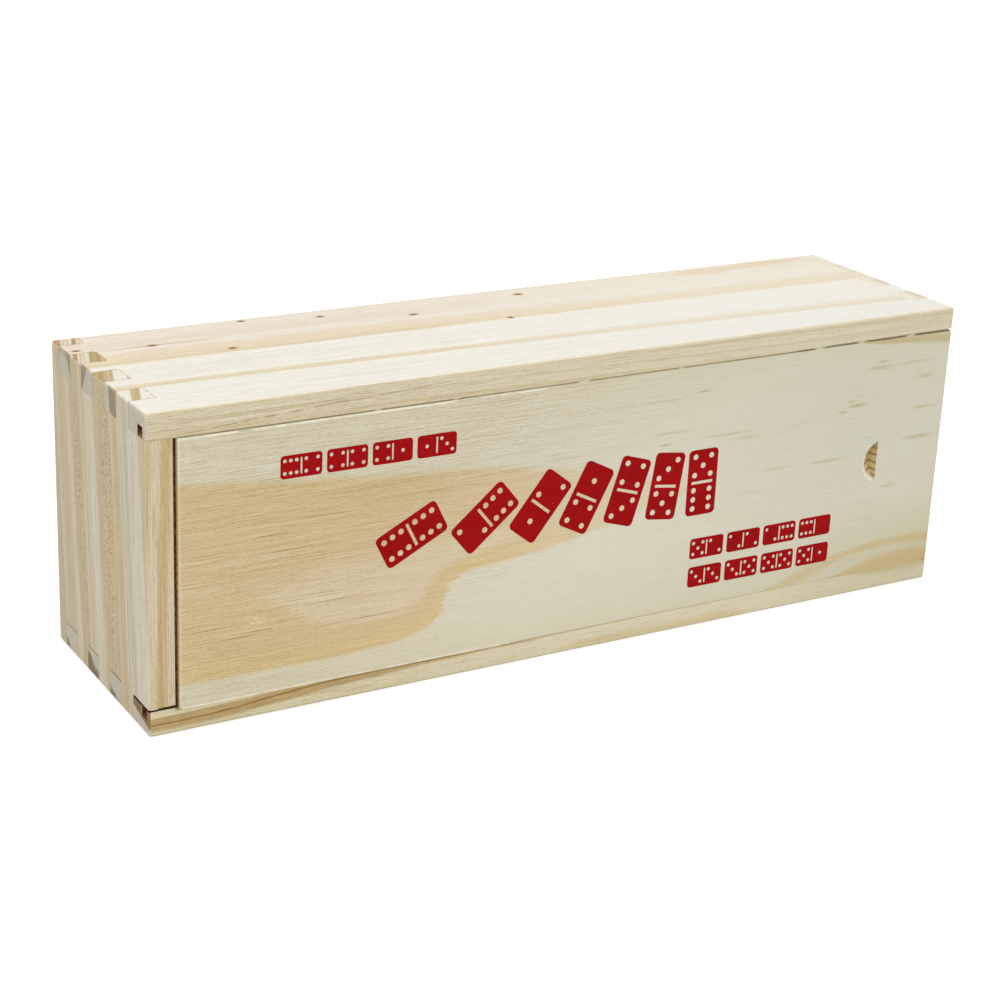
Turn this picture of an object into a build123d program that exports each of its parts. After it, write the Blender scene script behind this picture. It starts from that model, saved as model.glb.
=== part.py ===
from build123d import *
import os
from math import atan2, cos, floor, sin

# A softwood box for a set of domino tiles, in millimetres, lying on one long side as it is stored
# on a shelf. Four boards meet at the corners in box fingers, a thin bottom panel is let into
# grooves at the back, and a rebated lid slides in grooves at the front.
#
# X runs along the box: the closed end is at -X, and the lid slides out over the open end at +X.
# Y runs from the lid's face at the front (-Y) to the bottom panel at the back (+Y).
# Z is up, and is zero on the surface that the box lies on.

# The tiles, which stand on edge in stacks, and the room left round them
tile_length = 50.0
tile_width = 25.0
tile_thickness = 10.0
stacks = 7
tiles_per_stack = 4
room_along = 2.6
room_across = 3.6
room_deep = 2.0

# Boards and panels
board_thickness = 5.2
bottom_thickness = 2.7
back_lip = 1.3  # wood left behind the bottom panel's groove
groove_depth = 2.4  # one cutter makes the grooves for the bottom panel and for the lid
panel_end_room = 0.3  # between the bottom panel's edges and the bottom of their grooves
edge_easing = 0.6  # sanded round along every outer edge of the finished box

# Box fingers, set out from the back face
back_finger = 4.5  # the end panels' first finger is narrower than the others
finger_width = 6.2
glue_gap = 0.1  # glue line on each side of a finger
groove_cover = 1.5  # least wood between the lid's groove and the nearest finger
shoulder_gap = 0.4  # the closed end panel's lower shoulders stop short of the board below

# Lid
front_lip = 1.3  # wood left in front of the lid's groove
lid_groove_width = 2.7
slide_clearance = 0.1  # between the lid's tongue and each face of its groove
tongue_end_room = 0.3  # between the tongue's edges and the bottom of the grooves
face_clearance = 0.15  # between the lid's raised face and the lips above and below it
lid_tip_room = 0.4  # between the shut lid's tip and the bottom of the closed end panel's groove
closed_end_slit = 0.9  # between the lid's raised face and the closed end panel
lid_setback = 0.2  # the shut lid stops this far inside the open end
lower_lip_trim = 0.65  # the lower lip is planed down to free the lid
raised_face_chamfer = 0.2

# Thumb notch: a gouge scoops down towards the open end and stops at a straight end-grain wall
notch_height = 9.0
notch_width = 3.5
notch_depth = 2.9
notch_from_open_end = 17.8
notch_below_middle = 1.0
notch_rim_chamfer = 0.15

# The upper lip is torn thinner near the open end
tear_length = 37.0
tear_run_in = 4.0
tear_start_height = 0.3
tear_end_height = 0.4

# Overall sizes
inside_length = stacks * tile_width + room_along
inside_height = tile_length + room_across
inside_depth = tiles_per_stack * tile_thickness + room_deep
lid_zone = front_lip + lid_groove_width
bottom_zone = back_lip + bottom_thickness
box_length = inside_length + 2 * board_thickness
box_height = inside_height + 2 * board_thickness
box_depth = lid_zone + inside_depth + bottom_zone

# Places of the main faces
closed_x = -box_length / 2
open_x = box_length / 2
closed_inner_x = closed_x + board_thickness
open_inner_x = open_x - board_thickness
front_y = -box_depth / 2
back_y = box_depth / 2
groove_front_y = front_y + front_lip
groove_back_y = front_y + lid_zone
bottom_front_y = back_y - bottom_zone
lower_inner_z = board_thickness
upper_inner_z = box_height - board_thickness
middle_z = box_height / 2

# Every finger of an end panel: where its middle is, and how wide it is
finger_pitch = 2 * finger_width
finger_room = box_depth - back_finger - lid_zone - groove_cover
finger_count = floor(finger_room / finger_pitch)
first_finger_y = back_y - back_finger - finger_pitch + finger_width / 2
fingers = [(back_y - back_finger / 2, back_finger)]
fingers += [(first_finger_y - i * finger_pitch, finger_width) for i in range(finger_count)]


# The outside of the finished box, which all boards are sanded to together
with BuildPart() as outside:
    with BuildSketch():
        Rectangle(box_length, box_depth)
    extrude(amount=box_height)
    fillet(outside.edges(), edge_easing)


# The space inside the grooves that the bottom panel is let into
with BuildPart() as bottom_pocket:
    with BuildSketch(Plane.XZ.offset(-bottom_front_y)):
        with Locations((0, middle_z)):
            Rectangle(inside_length + 2 * groove_depth, inside_height + 2 * groove_depth)
    extrude(amount=-bottom_thickness)


def side_board(bottom_z, inner_z, outward):
    """A long board: a profile with the lid's groove, run along the box, and sockets for fingers."""
    with BuildPart() as board:
        with BuildSketch(Plane.YZ.offset(closed_x)):
            with Locations((0, bottom_z + board_thickness / 2)):
                Rectangle(box_depth, board_thickness)
            with Locations((groove_back_y - lid_groove_width / 2, inner_z + outward * groove_depth / 2)):
                Rectangle(lid_groove_width, groove_depth, mode=Mode.SUBTRACT)
        extrude(amount=box_length)
        with BuildSketch(Plane.XY.offset(bottom_z)):
            for finger_y, width in fingers:
                with Locations((closed_x + board_thickness / 2, finger_y), (open_x - board_thickness / 2, finger_y)):
                    Rectangle(board_thickness, width + 2 * glue_gap)
        extrude(amount=board_thickness, mode=Mode.SUBTRACT)
        add(bottom_pocket.part, mode=Mode.SUBTRACT)
        add(outside.part, mode=Mode.INTERSECT)
    return board.part


def end_panel(start_x, front_edge_y, low_shoulder_z):
    """An end panel: a comb-shaped profile with fingers up and down, cut from one board."""
    panel_height = upper_inner_z - low_shoulder_z
    panel_depth = back_y - front_edge_y
    with BuildPart() as panel:
        with BuildSketch(Plane.YZ.offset(start_x)):
            with Locations((back_y - panel_depth / 2, upper_inner_z - panel_height / 2)):
                Rectangle(panel_depth, panel_height)
            for finger_y, width in fingers:
                with Locations((finger_y, middle_z)):
                    Rectangle(width, box_height)
        extrude(amount=board_thickness)
        add(bottom_pocket.part, mode=Mode.SUBTRACT)
        add(outside.part, mode=Mode.INTERSECT)
    return panel.part


# The board on top as the box lies; its front lip is torn along the lid towards the open end
with BuildPart() as upper_side_board:
    add(side_board(upper_inner_z, upper_inner_z, 1))
    with BuildSketch(Plane.XZ.offset(-front_y)):
        with BuildLine():
            Polyline(
                (open_x - tear_length, upper_inner_z),
                (open_x - tear_length + tear_run_in, upper_inner_z + tear_start_height),
                (open_x, upper_inner_z + tear_end_height),
                (open_x, upper_inner_z),
                close=True,
            )
        make_face()
    extrude(amount=-front_lip, mode=Mode.SUBTRACT)


# The board underneath; its front lip is planed down from the closed end panel onwards
with BuildPart() as lower_side_board:
    add(side_board(0, lower_inner_z, -1))
    with BuildSketch(Plane.XZ.offset(-front_y)):
        with Locations((closed_inner_x, lower_inner_z)):
            Rectangle(open_x - closed_inner_x, lower_lip_trim, align=(Align.MIN, Align.MAX))
    extrude(amount=-front_lip, mode=Mode.SUBTRACT)


# The panel at the closed end reaches the front face and has a groove inside for the lid's tip
with BuildPart() as closed_end_panel:
    add(end_panel(closed_x, front_y, lower_inner_z + shoulder_gap))
    with BuildSketch(Plane.YZ.offset(closed_inner_x)):
        with Locations((groove_back_y - lid_groove_width / 2, middle_z)):
            Rectangle(lid_groove_width, box_height)
    extrude(amount=-groove_depth, mode=Mode.SUBTRACT)


# The panel at the open end stops level with the back of the lid's grooves, so the lid clears it
with BuildPart() as open_end_panel:
    add(end_panel(open_inner_x, groove_back_y, lower_inner_z))


# The bottom panel fills its grooves front to back and stops short of their ends
with BuildPart() as bottom_panel:
    panel_reach = groove_depth - panel_end_room
    with BuildSketch(Plane.XZ.offset(-bottom_front_y)):
        with Locations((0, middle_z)):
            Rectangle(inside_length + 2 * panel_reach, inside_height + 2 * panel_reach)
    extrude(amount=-bottom_thickness)


# The gouge that cuts the thumb notch: a round bar laid along the scoop's slope, ending at the stop.
# Its radius follows from the notch's height on the lid's face and its depth at the stop.
scoop_slope = atan2(notch_depth, notch_width)
scoop_rise = notch_depth * cos(scoop_slope)
gouge_radius = ((notch_height / 2) ** 2 + scoop_rise**2) / (2 * scoop_rise)
stop_x = open_x - notch_from_open_end
gouge_centre = (stop_x, front_y + notch_depth - gouge_radius / cos(scoop_slope), middle_z - notch_below_middle)
with BuildPart() as gouge:
    with BuildSketch(Plane(origin=gouge_centre, z_dir=(cos(scoop_slope), sin(scoop_slope), 0))):
        Circle(gouge_radius)
    extrude(amount=2 * gouge_radius, both=True)
    split(bisect_by=Plane.YZ.offset(stop_x), keep=Keep.BOTTOM)


# The lid: a tongue on three sides runs in the grooves, and the raised face lies flush with the front
tongue_start_x = closed_inner_x - groove_depth + lid_tip_room
lid_end_x = open_x - lid_setback
tongue_low_z = lower_inner_z - groove_depth + tongue_end_room
tongue_high_z = upper_inner_z + groove_depth - tongue_end_room
tongue_thickness = lid_groove_width - 2 * slide_clearance
tongue_front_y = groove_front_y + slide_clearance
face_start_x = closed_inner_x + closed_end_slit
face_low_z = lower_inner_z - lower_lip_trim + face_clearance
face_high_z = upper_inner_z - face_clearance
with BuildPart() as sliding_lid:
    with BuildSketch(Plane.XZ.offset(-tongue_front_y)):
        with Locations((tongue_start_x, tongue_low_z)):
            Rectangle(lid_end_x - tongue_start_x, tongue_high_z - tongue_low_z, align=(Align.MIN, Align.MIN))
    extrude(amount=-tongue_thickness)
    with BuildSketch(Plane.XZ.offset(-tongue_front_y)):
        with Locations((face_start_x, face_low_z)):
            Rectangle(lid_end_x - face_start_x, face_high_z - face_low_z, align=(Align.MIN, Align.MIN))
    extrude(amount=tongue_front_y - front_y)
    face_edges = sliding_lid.faces().sort_by(Axis.Y)[0].edges().sort_by(Axis.X)[:-1]
    chamfer(face_edges, raised_face_chamfer)
    add(gouge.part, mode=Mode.SUBTRACT)
    chamfer(sliding_lid.edges().filter_by(GeomType.ELLIPSE).sort_by(Axis.Y)[0], notch_rim_chamfer)
    add(outside.part, mode=Mode.INTERSECT)


os.makedirs("parts", exist_ok=True)
upper_side_board.part.label = "upper_side_board"
export_step(upper_side_board.part, "parts/upper_side_board.step")
lower_side_board.part.label = "lower_side_board"
export_step(lower_side_board.part, "parts/lower_side_board.step")
closed_end_panel.part.label = "closed_end_panel"
export_step(closed_end_panel.part, "parts/closed_end_panel.step")
open_end_panel.part.label = "open_end_panel"
export_step(open_end_panel.part, "parts/open_end_panel.step")
bottom_panel.part.label = "bottom_panel"
export_step(bottom_panel.part, "parts/bottom_panel.step")
sliding_lid.part.label = "sliding_lid"
export_step(sliding_lid.part, "parts/sliding_lid.step")
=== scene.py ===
from math import cos, pi, radians, sin

import bpy
from mathutils import Matrix, Vector


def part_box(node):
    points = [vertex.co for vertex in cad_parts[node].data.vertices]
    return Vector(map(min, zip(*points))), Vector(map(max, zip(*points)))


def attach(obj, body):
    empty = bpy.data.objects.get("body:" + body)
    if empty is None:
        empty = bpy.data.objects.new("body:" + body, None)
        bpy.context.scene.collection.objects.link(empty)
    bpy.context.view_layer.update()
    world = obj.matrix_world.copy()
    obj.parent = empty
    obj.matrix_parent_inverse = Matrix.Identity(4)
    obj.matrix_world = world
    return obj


# The look of a pale softwood box for domino tiles. Sizes that are named in mm are the real ones.
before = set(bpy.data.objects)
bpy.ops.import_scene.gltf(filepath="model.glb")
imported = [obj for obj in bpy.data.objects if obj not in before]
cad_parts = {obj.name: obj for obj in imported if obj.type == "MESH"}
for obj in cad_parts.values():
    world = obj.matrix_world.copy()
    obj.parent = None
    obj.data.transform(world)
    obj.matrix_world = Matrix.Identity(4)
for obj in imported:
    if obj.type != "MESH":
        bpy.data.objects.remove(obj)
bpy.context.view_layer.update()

MM = 0.001
BOX_LENGTH = 188.0
BOX_DEPTH = 50.0
BOX_HEIGHT = 64.0
BOARD = 5.2
FINGER_WIDTH = 6.2
FINGER_MIDDLE = 1.4  # a middle of the comb of fingers, in from the back; the next is two widths on
COMB_END = 44.8  # no finger lies further forward than this, in from the back
LIP_BACK = 48.6  # the lip in front of the lid's groove starts here, in from the back
FACE_DEPTH = 1.35  # the lid's raised face is this thick, and its tongue lies deeper
NOTCH_MIDDLE = (170.2, 31.0, 0.0)
KNIFE_LINES = 0.46  # from one fine line that the planer left to the next
THROUGH = 30.0  # deep enough to reach through any board

# Where the lid's groove comes out through a side board's closed end, in grain mm
GROOVE_END = (0.1, 45.9, 2.7), (5.3, 48.8, 5.15)

# How strongly painted shade darkens the seam above the lid, in mm along from the closed end; nothing where
# fibres bridge it
UPPER_SEAM_SHADE = [
    (0, 0.5), (46.0, 0.5), (46.4, 0.0), (47.0, 0.0), (47.4, 0.5), (63.0, 0.5), (63.3, 0.0),
    (63.8, 0.0), (64.1, 0.5), (75.0, 0.4), (91.0, 0.4), (91.3, 0.0), (93.8, 0.0), (94.2, 0.4),
    (115.5, 0.35), (115.8, 0.0), (116.2, 0.0), (116.5, 0.35), (145, 0.5), (147, 1.0), (149.5, 1.0),
    (151, 0.0), (152.5, 0.0), (154, 0.4), (161, 0.6), (162.2, 0.0), (163.8, 0.0), (165, 0.6),
    (174.6, 0.6), (175.8, 0.0), (177.4, 0.0), (178.6, 0.7), (188, 0.7),
]


def srgb(code):
    """An sRGB hex colour as the linear colour that a shader takes."""
    channels = [int(code[i:i + 2], 16) / 255 for i in (1, 3, 5)]
    return [v / 12.92 if v <= 0.04045 else ((v + 0.055) / 1.055) ** 2.4 for v in channels] + [1.0]


def add_node(tree, kind, links=None, output=0, stops=None, curve=None, **settings):
    """Add one shader node with its settings, values and links, and give back one of its outputs."""
    node = tree.nodes.new("ShaderNode" + kind)
    for name, value in settings.items():
        setattr(node, name, value)
    for socket, value in (links or {}).items():
        if isinstance(value, bpy.types.NodeSocket):
            tree.links.new(value, node.inputs[socket])
        else:
            node.inputs[socket].default_value = srgb(value) if isinstance(value, str) else value
    if stops:
        ramp = node.color_ramp
        while len(ramp.elements) < len(stops):
            ramp.elements.new(0.5)
        for element, (position, code) in zip(ramp.elements, stops):
            element.position = position
            element.color = srgb(code)
    if curve:
        points = node.mapping.curves[0].points
        while len(points) < len(curve):
            points.new(0.5, 0.5)
        for point, place in zip(points, curve):
            point.location = place
        node.mapping.update()
    return node.outputs[output] if len(node.outputs) else node


def bare_nodes(thing):
    """Turn on the nodes of a material or of the world, and clear them away."""
    thing.use_nodes = True
    thing.node_tree.nodes.clear()
    return thing.node_tree


# ---------------------------------------------------------------- camera, light and floor

# The camera stands at the left of the box's front and looks down on it, tipped a little sideways
camera_place = Vector((-226.4, -368.6, 187.4)) * MM
camera_azimuth = radians(30.185)
camera_fall = radians(19.906)
camera_roll = radians(-2.243)
ahead = Vector((
    sin(camera_azimuth) * cos(camera_fall),
    cos(camera_azimuth) * cos(camera_fall),
    -sin(camera_fall),
))
level = ahead.cross(Vector((0, 0, 1))).normalized()
down = ahead.cross(level)
right = level * cos(camera_roll) + down * sin(camera_roll)
below = down * cos(camera_roll) - level * sin(camera_roll)
camera = bpy.data.objects.new("camera", bpy.data.cameras.new("camera"))
camera_axes = Matrix((right, -below, -ahead)).transposed().to_4x4()
camera.matrix_world = Matrix.Translation(camera_place) @ camera_axes
camera.data.sensor_width = 36
camera.data.lens = 77.889
camera.data.shift_x = 0.0286
camera.data.shift_y = -0.0289
bpy.context.scene.collection.objects.link(camera)
bpy.context.scene.camera = camera
bpy.context.scene.view_settings.view_transform = "Standard"

BOX_MIDDLE = Vector((0, 0, 0.03))  # near enough for aiming the lamps

# A large cool softbox overhead and a warmer one in front, low and to the left: for each its place and
# size in metres, its power in watts and its tint
softboxes = [
    ("softbox_above", (-0.10, 0.10, 1.30), 1.2, 11.0, (0.93, 1.0, 1.10)),
    ("softbox_front", (-0.60, -1.30, 0.70), 1.0, 8.6, (1.0, 0.94, 0.78)),
]
for name, place, size, power, tint in softboxes:
    lamp = bpy.data.lights.new(name, "AREA")
    lamp.shape = "SQUARE"
    lamp.size = size
    lamp.energy = power
    lamp.color = tint
    softbox = bpy.data.objects.new(name, lamp)
    softbox.location = place
    to_box = BOX_MIDDLE - Vector(place)
    softbox.rotation_euler = to_box.to_track_quat("-Z", "Y").to_euler()
    bpy.context.scene.collection.objects.link(softbox)

# White paper: it shows white to the camera and lights the wood from below as pale paper does
paper = bpy.data.materials.new("white_paper")
tree = bare_nodes(paper)
seen = add_node(tree, "LightPath", output="Is Camera Ray")
matt = add_node(tree, "BsdfDiffuse", {"Color": "#CECBC4"})
unlit = add_node(tree, "Emission", {"Color": "#000000", "Strength": 0})
white = add_node(tree, "Emission", {"Color": "#FFFFFF", "Strength": 0.6})
shown = add_node(tree, "MixShader", {0: seen, 1: unlit, 2: white})
surface = add_node(tree, "AddShader", {0: matt, 1: shown})
add_node(tree, "OutputMaterial", {"Surface": surface})
bpy.ops.mesh.primitive_plane_add(size=8)
floor = bpy.context.object
floor.name = "floor"
floor.data.materials.append(paper)

# The room is white to the camera, and a dim, nearly white glow to the box
room = bpy.data.worlds.new("white_room")
bpy.context.scene.world = room
tree = bare_nodes(room)
seen = add_node(tree, "LightPath", output="Is Camera Ray")
dim = add_node(tree, "Background", {"Color": "#FFFDFA", "Strength": 0.46})
white = add_node(tree, "Background", {"Color": "#FFFFFF", "Strength": 1.0})
shown = add_node(tree, "MixShader", {0: seen, 1: dim, 2: white})
add_node(tree, "OutputWorld", {"Surface": shown})


# ---------------------------------------------------------------- wood

def start_wood(name, scale, turn, start):
    """Start a board's material. Its grain place is in mm: along the grain, across it, into the board."""
    wood = bpy.data.materials.new(name)
    tree = bare_nodes(wood)
    place = add_node(tree, "TexCoord", output="Object")
    grain = add_node(tree, "Mapping", {
        "Vector": place,
        "Location": start,
        "Rotation": [radians(angle) for angle in turn],
        "Scale": scale,
    })
    parts = add_node(tree, "SeparateXYZ", {0: grain}).node.outputs
    return wood, tree, grain, parts


def noise_along(tree, grain, length, width, detail=2.0, roughness=0.55, shift=0.0):
    """Noise drawn out along the grain, with the length and width of its marks in mm."""
    stretched = add_node(tree, "Mapping", {
        "Vector": grain,
        "Location": (shift, shift * 0.7, shift * 1.3),
        "Scale": (1 / length, 1 / width, 1 / width),
    })
    return add_node(tree, "TexNoise", {
        "Vector": stretched,
        "Scale": 1.0,
        "Detail": detail,
        "Roughness": roughness,
    })


def add_noise(tree, value, noise, amount):
    """Move a value up and down by a share of noise that is 0.5 on average."""
    moved = add_node(tree, "Math", {0: noise, 1: amount, 2: value}, operation="MULTIPLY_ADD")
    return add_node(tree, "Math", {0: moved, 1: amount / 2}, operation="SUBTRACT")


def drawn_line(tree, along, points):
    """A line drawn along the board through points in mm: its height in mm at each place along."""
    share = add_node(tree, "Math", {0: along, 1: 1 / BOX_LENGTH}, operation="MULTIPLY")
    drawn = add_node(tree, "FloatCurve", {"Value": share}, curve=[
        (x / BOX_LENGTH, y / BOX_HEIGHT) for x, y in points
    ])
    return add_node(tree, "Math", {0: drawn, 1: BOX_HEIGHT}, operation="MULTIPLY")


def leaning(tree, place, along, length, near, far):
    """Move a place by an amount in mm that changes evenly from near to far over a length."""
    move = add_node(tree, "MapRange", {"Value": along, "From Max": length, "To Min": near, "To Max": far})
    return add_node(tree, "Math", {0: place, 1: move})


def beyond(tree, place, line, start, end):
    """Nothing where a place is less than start beyond a line, and one where it is more than end."""
    past = add_node(tree, "Math", {0: place, 1: line}, operation="SUBTRACT")
    return add_node(tree, "MapRange", {"Value": past, "From Min": start, "From Max": end})


def spot(tree, grain, middle, reach):
    """One in the middle of a spot, and evenly less out to its reach, both in grain mm."""
    around = add_node(tree, "VectorMath", {0: grain, 1: middle}, operation="SUBTRACT")
    around = add_node(tree, "VectorMath", {0: around, 1: reach}, operation="DIVIDE")
    return add_node(tree, "TexGradient", {"Vector": around}, 1, gradient_type="SPHERICAL")


def streak(tree, along, across, middle, half_width):
    """One inside a streak with drawn middle and half width, both in mm, and soft at its sides."""
    middle_line = drawn_line(tree, along, middle)
    reach = add_node(tree, "Math", {0: drawn_line(tree, along, half_width), 1: 0.001}, operation="MAXIMUM")
    off = add_node(tree, "Math", {0: across, 1: middle_line}, operation="SUBTRACT")
    off = add_node(tree, "Math", {0: off}, operation="ABSOLUTE")
    off = add_node(tree, "Math", {0: off, 1: reach}, operation="DIVIDE")
    return add_node(tree, "MapRange", {
        "Value": off, "From Min": 0.5, "From Max": 1.3, "To Min": 1.0, "To Max": 0.0,
    })


def bands(tree, across, span, stops):
    """Growth bands across a board: each stop is a place in mm and the colour there."""
    share = add_node(tree, "Math", {0: across, 1: 1 / span}, operation="MULTIPLY")
    return add_node(tree, "ValToRGB", {0: share}, stops=[(mm / span, code) for mm, code in stops])


def stain(tree, colour, mask, tint, blend="MULTIPLY"):
    """Stain the colour with a tint where the mask is one; MIX covers it instead, and ADD lightens it."""
    return add_node(tree, "Mix", {0: mask, 6: colour, 7: tint}, 2, data_type="RGBA", blend_type=blend)


def stain_streaks(tree, along, across, colour, streaks):
    """Stain the colour with streaks: for each its middle and half width, drawn in mm, and its tint."""
    for middle, half_width, tint in streaks:
        colour = stain(tree, colour, streak(tree, along, across, middle, half_width), tint)
    return colour


def changing_bands(tree, across, along, span, near_stops, far_stops, start, end):
    """Growth bands that change from near to far between two places along the board."""
    share = add_node(tree, "MapRange", {"Value": along, "From Min": start, "From Max": end})
    near = bands(tree, across, span, near_stops)
    return stain(tree, near, share, bands(tree, across, span, far_stops), "MIX")


# Marks that planed softwood shows, drawn out along the grain: length and width in mm, how finely
# they break up, the part of the noise that shows, the tint of the darkest marks, and their relief.
# The finest are drawn at a tenth to a quarter of a millimetre, so that they still show.
wood_marks = [
    (190.0, 1.6, 2.0, 0.36, 0.56, "#FDFCFA", 0.0),  # growth rings
    (120.0, 0.20, 0.0, 0.34, 0.52, "#FAF8F4", 0.0),  # fine growth lines
    (24.0, 0.15, 0.0, 0.36, 0.50, "#F4F0E8", 0.5),  # long fibres
    (5.0, 0.16, 0.0, 0.32, 0.44, "#F5F1EA", 0.45),  # short fibres
    (1.1, 0.26, 1.0, 0.36, 0.50, "#F4F0E9", 0.4),  # fuzz
    (36.0, 0.10, 2.0, 0.26, 0.29, "#9C8454", 0.3),  # hairlines
    (2.6, 0.22, 2.0, 0.20, 0.26, "#BBA57C", 0.4),  # resin canals
]


def planed_surface(tree, grain, parts, colour, strength):
    """Lay the marks of planed softwood over a board's own figure; gives its colour and its height."""
    height = None
    for i, (length, width, detail, start, end, tint, relief) in enumerate(wood_marks):
        noise = noise_along(tree, grain, length, width, detail, shift=7.3 * i)
        mark = add_node(tree, "ValToRGB", {0: noise}, stops=[(start, tint), (end, "#FFFFFF")])
        colour = stain(tree, colour, strength, mark)
        if relief:
            raised = add_node(tree, "Math", {0: noise, 1: relief}, operation="MULTIPLY")
            height = raised if height is None else add_node(tree, "Math", {0: height, 1: raised})
    # The planer's knives left fine, even lines that come and go
    drift = add_node(tree, "Math", {0: parts[1], 1: parts[2]})
    drift = add_noise(tree, drift, noise_along(tree, grain, 60, 3, shift=41.0), 1.6)
    drift = add_noise(tree, drift, noise_along(tree, grain, 12, 0.8, shift=43.0), 0.3)
    lines = add_node(tree, "Math", {0: drift, 1: 2 * pi / KNIFE_LINES}, operation="MULTIPLY")
    lines = add_node(tree, "Math", {0: lines}, operation="SINE")
    come_and_go = noise_along(tree, grain, 9, 0.5, detail=1.0, shift=45.0)
    come_and_go = add_node(tree, "MapRange", {"Value": come_and_go, "From Min": 0.35, "From Max": 0.6})
    lines = add_node(tree, "Math", {0: lines, 1: come_and_go}, operation="MULTIPLY")
    line = add_node(tree, "MapRange", {"Value": lines, "From Min": -0.2, "From Max": 1.0})
    line = add_node(tree, "Math", {0: line, 1: strength}, operation="MULTIPLY")
    colour = stain(tree, colour, line, "#E9E3D6")
    # Torn fibres catch the light as short pale flecks
    torn = noise_along(tree, grain, 4.5, 0.16, detail=0.0, shift=50.0)
    fleck = add_node(tree, "ValToRGB", {0: torn}, stops=[(0.70, "#000000"), (0.80, "#53514A")])
    return stain(tree, colour, strength, fleck, "ADD"), height


def fading_marks(tree, parts, near_strength, far_strength):
    """The boards were planed rougher towards the closed end, so the marks fade towards the open end."""
    return add_node(tree, "MapRange", {
        "Value": parts[0], "From Min": 50, "From Max": 140, "To Min": near_strength, "To Max": far_strength,
    })


def end_grain(tree, grain, colour, height, axis, ends):
    """Where a face cuts across the fibres, show the ends of the growth bands and the pores instead."""
    facing = add_node(tree, "TexCoord", output="Normal")
    across = add_node(tree, "VectorMath", {0: facing, 1: axis}, "Value", operation="DOT_PRODUCT")
    turned = add_node(tree, "Math", {0: across}, operation="ABSOLUTE")
    cut = add_node(tree, "MapRange", {"Value": turned, "From Min": 0.45, "From Max": 0.62})
    pores = add_node(tree, "TexNoise", {"Vector": grain, "Scale": 4.0, "Detail": 2.0})
    speckle = add_node(tree, "ValToRGB", {0: pores}, stops=[(0.32, "#E3DACE"), (0.5, "#FFFFFF")])
    ends = stain(tree, ends, 1.0, speckle)
    height = add_node(tree, "Mix", {0: cut, 2: height, 3: pores})
    return stain(tree, colour, cut, ends, "MIX"), height


def late_wood_ends(tree, grain, parts, depths, shift, raggedness, soft_edge, pale, dark):
    """A side board's end grain: its dark late wood lies as deep as drawn across the board, in mm."""
    edge = drawn_line(tree, parts[1], depths)
    edge = add_noise(tree, edge, noise_along(tree, grain, 3, 1.2, shift=shift), raggedness)
    return stain(tree, pale, beyond(tree, edge, parts[2], -0.5, soft_edge), dark, "MIX")


def inside(tree, grain, low, high):
    """One inside a box given in grain mm, and nothing outside it."""
    middle = [(a + b) / 2 for a, b in zip(low, high)]
    half = [(b - a) / 2 for a, b in zip(low, high)]
    away = add_node(tree, "VectorMath", {0: grain, 1: middle}, operation="SUBTRACT")
    away = add_node(tree, "VectorMath", {0: away, 1: half}, operation="DIVIDE")
    away = add_node(tree, "VectorMath", {0: away}, operation="ABSOLUTE")
    sides = add_node(tree, "SeparateXYZ", {0: away}).node.outputs
    most = add_node(tree, "Math", {0: sides[0], 1: sides[1]}, operation="MAXIMUM")
    most = add_node(tree, "Math", {0: most, 1: sides[2]}, operation="MAXIMUM")
    return add_node(tree, "Math", {0: most, 1: 1.0}, operation="LESS_THAN")


def painted_recess_shade(tree, grain, colour, low, high):
    """Painted brown shade in a groove, slit or gap, inside a box in grain mm."""
    shade_noise = add_node(tree, "TexNoise", {"Vector": grain, "Scale": 1.1, "Detail": 2.0})
    shade_colours = add_node(tree, "ValToRGB", {0: shade_noise}, stops=[(0.4, "#553818"), (0.62, "#8C6636")])
    return stain(tree, colour, inside(tree, grain, low, high), shade_colours, "MIX")


def painted_seam_shade(tree, parts, colour, low, high, points, tint):
    """Paint shade on a board's edge along a seam between two places, as strongly as drawn along the board.
    """
    middle = add_node(tree, "Math", {0: parts[1], 1: (low + high) / 2}, operation="SUBTRACT")
    middle = add_node(tree, "Math", {0: middle}, operation="ABSOLUTE")
    near = add_node(tree, "Math", {0: middle, 1: (high - low) / 2}, operation="LESS_THAN")
    strength = drawn_line(tree, parts[0], [(x, share * BOX_HEIGHT) for x, share in points])
    strength = add_node(tree, "Math", {0: strength, 1: 1 / BOX_HEIGHT}, operation="MULTIPLY")
    mask = add_node(tree, "Math", {0: near, 1: strength}, operation="MULTIPLY")
    return stain(tree, colour, mask, tint)


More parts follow.
